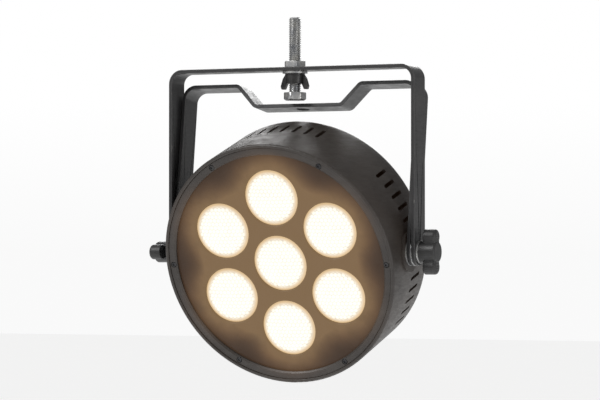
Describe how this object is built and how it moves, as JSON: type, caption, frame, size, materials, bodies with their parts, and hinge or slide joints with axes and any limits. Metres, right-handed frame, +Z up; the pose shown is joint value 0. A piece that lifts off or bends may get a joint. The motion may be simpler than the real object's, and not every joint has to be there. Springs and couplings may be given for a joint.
{
  "type": "par can light",
  "caption": "Flat black LED par can on a double steel bracket, with glowing lenses, hand knobs and a hanging bolt for a lighting bar.",
  "frame": {"origin": "on the axis of the hanging bolt, at the top face of its lock nut, where the underside of the bar rests", "axes": "+Z up along the hanging bolt, -Y towards the side that the light shines to, +X to the right seen from the front"},
  "size_m": [0.2472, 0.1438, 0.2917],
  "materials": {
    "bracket_paint": "satin",
    "zinc_steel": "satin",
    "black_steel": "satin",
    "inner_steel": "satin",
    "knob_plastic": "matte",
    "housing_paint": "satin",
    "face_paint": "matte",
    "panel_paint": "matte",
    "gasket_rubber": "matte",
    "lens_acrylic": "gloss",
    "holder_plastic": "matte",
    "phosphor": "gloss",
    "light_board": "satin",
    "sink_aluminium": "satin",
    "fan_plastic": "matte",
    "circuit_board": "satin",
    "brass": "satin",
    "switch_plastic": "matte",
    "display_plastic": "gloss",
    "window_acrylic": "gloss",
    "button_plastic": "satin",
    "socket_plastic": "satin",
    "contact_metal": "satin",
    "fuse_glass": "gloss"
  },
  "bodies": {
    "hanging_bracket": {"hanging_bracket": "bracket_paint", "hanging_bolt": "zinc_steel", "bolt_lock_nut": "zinc_steel", "bolt_washer": "zinc_steel", "knob_washers": "zinc_steel", "middle_washers": "zinc_steel"},
    "head": {"inner_washers": "zinc_steel", "safety_eye": "zinc_steel", "bezel_screws": "black_steel", "rear_screws": "black_steel", "panel_screws": "black_steel", "inner_screws": "inner_steel", "main_shell": "housing_paint", "rear_shell": "housing_paint", "front_bezel": "housing_paint", "lens_plate": "face_paint", "rear_panel": "panel_paint", "face_gasket": "gasket_rubber", "lens_1": "lens_acrylic", "lens_2": "lens_acrylic", "lens_3": "lens_acrylic", "lens_4": "lens_acrylic", "lens_5": "lens_acrylic", "lens_6": "lens_acrylic", "lens_7": "lens_acrylic", "lens_holders": "holder_plastic", "led_emitters": "phosphor", "led_board": "light_board", "heat_sink": "sink_aluminium", "fan_frame": "fan_plastic", "power_board": "circuit_board", "driver_board": "circuit_board", "control_board": "circuit_board", "standoffs": "brass", "pivot_inserts": "brass", "tact_switches": "switch_plastic", "display_module": "display_plastic", "display_window": "window_acrylic", "dmx_in_shell": "socket_plastic", "dmx_out_shell": "socket_plastic", "dmx_out_insert": "socket_plastic", "power_inlet": "socket_plastic", "power_outlet": "socket_plastic", "fuse_holder": "socket_plastic", "dmx_in_pins": "contact_metal", "inlet_blades": "contact_metal"},
    "wing_nut": {"wing_nut": "black_steel"},
    "floor_bracket": {"floor_bracket": "bracket_paint"},
    "knob_right": {"knob_right": "knob_plastic", "knob_stud_right": "zinc_steel"},
    "knob_left": {"knob_left": "knob_plastic", "knob_stud_left": "zinc_steel"},
    "fan_rotor": {"fan_rotor": "fan_plastic"},
    "button_1": {"button_1": "button_plastic"},
    "button_2": {"button_2": "button_plastic"},
    "button_3": {"button_3": "button_plastic"},
    "button_4": {"button_4": "button_plastic"},
    "latch_tab": {"latch_tab": "button_plastic"},
    "fuse_cap": {"fuse_cap": "socket_plastic", "glass_fuse": "fuse_glass"}
  },
  "joints": [
    {"name": "head_tilt", "type": "hinge", "parent": "hanging_bracket", "child": "head", "pos_m": [0, 0, -0.1525], "axis": [1, 0, 0], "range_deg": [-108, 72]},
    {"name": "floor_bracket_swing", "type": "hinge", "parent": "hanging_bracket", "child": "floor_bracket", "pos_m": [0, 0, -0.1525], "axis": [1, 0, 0], "range_deg": [-172.5, 187.5]},
    {"name": "wing_nut_turn", "type": "hinge", "parent": "hanging_bracket", "child": "wing_nut", "pos_m": [0, 0, -0.012], "axis": [0, 0, 1], "continuous": true},
    {"name": "knob_right_turn", "type": "hinge", "parent": "head", "child": "knob_right", "pos_m": [0.1125, 0, -0.1525], "axis": [1, 0, 0], "continuous": true},
    {"name": "knob_left_turn", "type": "hinge", "parent": "head", "child": "knob_left", "pos_m": [-0.1125, 0, -0.1525], "axis": [-1, 0, 0], "continuous": true},
    {"name": "fan_spin", "type": "hinge", "parent": "head", "child": "fan_rotor", "pos_m": [0, 0.02473, -0.14447], "axis": [0, 0.9511, 0.309], "continuous": true},
    {"name": "button_1_press", "type": "slide", "parent": "head", "child": "button_1", "axis": [0, -0.9511, -0.309], "range_m": [0, 0.0008], "stiffness_N_per_m": 300, "springref_m": -0.002},
    {"name": "button_2_press", "type": "slide", "parent": "head", "child": "button_2", "axis": [0, -0.9511, -0.309], "range_m": [0, 0.0008], "stiffness_N_per_m": 300, "springref_m": -0.002},
    {"name": "button_3_press", "type": "slide", "parent": "head", "child": "button_3", "axis": [0, -0.9511, -0.309], "range_m": [0, 0.0008], "stiffness_N_per_m": 300, "springref_m": -0.002},
    {"name": "button_4_press", "type": "slide", "parent": "head", "child": "button_4", "axis": [0, -0.9511, -0.309], "range_m": [0, 0.0008], "stiffness_N_per_m": 300, "springref_m": -0.002},
    {"name": "latch_press", "type": "slide", "parent": "head", "child": "latch_tab", "axis": [0, -0.9511, -0.309], "range_m": [0, 0.0015], "stiffness_N_per_m": 400, "springref_m": -0.002},
    {"name": "fuse_cap_turn", "type": "hinge", "parent": "head", "child": "fuse_cap", "pos_m": [0.052, 0.06633, -0.16249], "axis": [0, 0.9511, 0.309], "range_deg": [-60, 0]}
  ]
}
